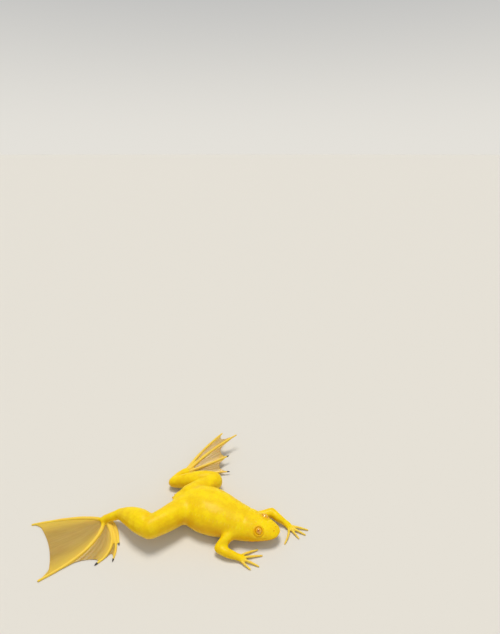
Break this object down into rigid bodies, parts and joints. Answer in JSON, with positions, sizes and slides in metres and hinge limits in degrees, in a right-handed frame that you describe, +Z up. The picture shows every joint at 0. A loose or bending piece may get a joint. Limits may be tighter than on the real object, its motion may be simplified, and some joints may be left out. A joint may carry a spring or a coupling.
{
  "type": "african clawed frog, still model",
  "caption": "Life-size still model of an albino African clawed frog lying flat, one webbed hind foot stretched back and the other leg folded, bare-fingered hands forward.",
  "frame": {"origin": "centre of the bounding box's footprint, on the floor the frog lies on", "axes": "+Z up; +X forward along the body, towards the snout; +Y to the frog's left"},
  "size_m": [0.2136, 0.1934, 0.0254],
  "materials": {
    "flesh": "smooth moist golden yellow skin",
    "eye": "clear glossy eye with an orange iris and a dark red pupil",
    "claw": "near-black horn"
  },
  "bodies": {
    "root": {"torso": "flesh", "head": "flesh", "eye_left": "eye", "eye_right": "eye", "thigh_left": "flesh", "shank_left": "flesh", "foot_left": "flesh", "upper_arm_left": "flesh", "forearm_left": "flesh", "hand_left": "flesh", "claw_left_1": "claw", "claw_left_2": "claw", "claw_left_3": "claw", "thigh_right": "flesh", "shank_right": "flesh", "foot_right": "flesh", "upper_arm_right": "flesh", "forearm_right": "flesh", "hand_right": "flesh", "claw_right_1": "claw", "claw_right_2": "claw", "claw_right_3": "claw"}
  },
  "joints": []
}
